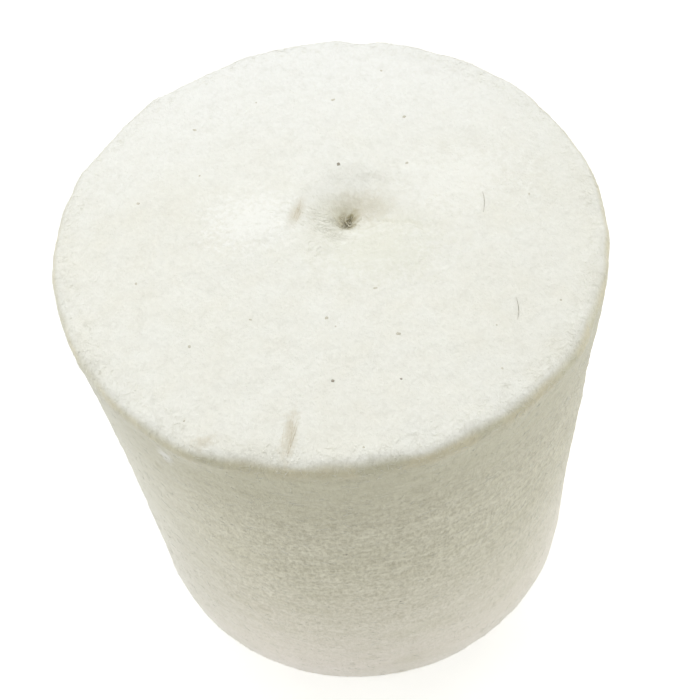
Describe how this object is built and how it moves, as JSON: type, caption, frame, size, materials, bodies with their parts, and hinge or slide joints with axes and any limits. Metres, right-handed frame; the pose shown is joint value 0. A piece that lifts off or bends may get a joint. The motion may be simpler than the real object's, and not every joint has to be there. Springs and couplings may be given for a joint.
{
  "type": "felt polishing wheel",
  "caption": "Solid cylindrical felt polishing wheel of pressed white wool, with a dished pilot hole along its axis for a tapered screw spindle.",
  "frame": {"origin": "centre of the flat base that the wheel stands on, where the hole's axis meets the base", "axes": "+Z along the pilot hole from the base towards the dished end; the wheel is round about Z, so X and Y are free"},
  "size_m": [0.0508, 0.0508, 0.0508],
  "materials": {
    "wool_felt": "matte pressed wool felt with a short nap"
  },
  "bodies": {
    "root": {"felt_body": "wool_felt"}
  },
  "joints": []
}
